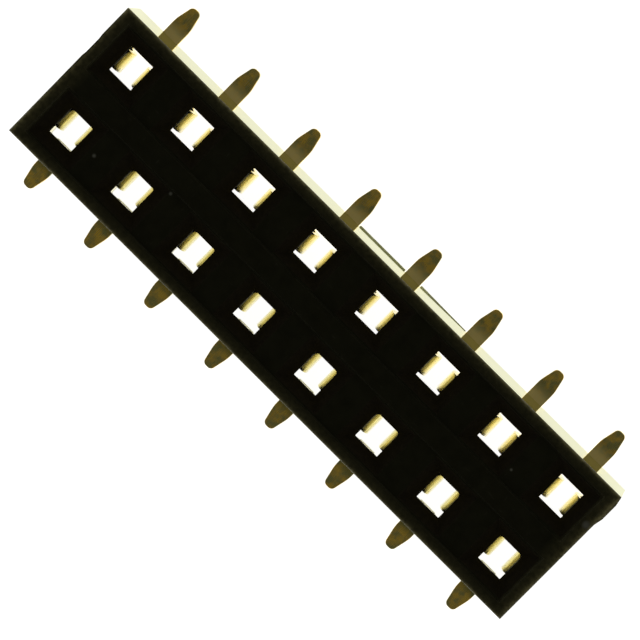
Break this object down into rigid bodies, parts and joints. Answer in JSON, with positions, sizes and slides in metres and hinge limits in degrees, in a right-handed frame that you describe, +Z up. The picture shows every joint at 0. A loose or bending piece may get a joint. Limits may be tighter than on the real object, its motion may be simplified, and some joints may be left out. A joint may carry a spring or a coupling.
{
  "type": "female pin header strip",
  "caption": "Low surface-mount socket strip, two rows of open square sockets in one black housing, gold spring contacts with flat tapered tails out of both long sides.",
  "frame": {"origin": "middle of the strip's footprint on the board plane, which the undersides of the tails lie on", "axes": "+X along the strip, +Y across it towards row a, +Z up out of the board, towards the side that the posts enter"},
  "size_m": [0.016, 0.0058, 0.0022],
  "materials": {
    "housing_plastic": "matte black moulded thermoplastic",
    "contact_gold": "thin gold over copper alloy, satin"
  },
  "bodies": {
    "root": {"housing": "housing_plastic", "contact_a1": "contact_gold", "contact_a2": "contact_gold", "contact_a3": "contact_gold", "contact_a4": "contact_gold", "contact_a5": "contact_gold", "contact_a6": "contact_gold", "contact_a7": "contact_gold", "contact_a8": "contact_gold", "contact_b1": "contact_gold", "contact_b2": "contact_gold", "contact_b3": "contact_gold", "contact_b4": "contact_gold", "contact_b5": "contact_gold", "contact_b6": "contact_gold", "contact_b7": "contact_gold", "contact_b8": "contact_gold"}
  },
  "joints": []
}
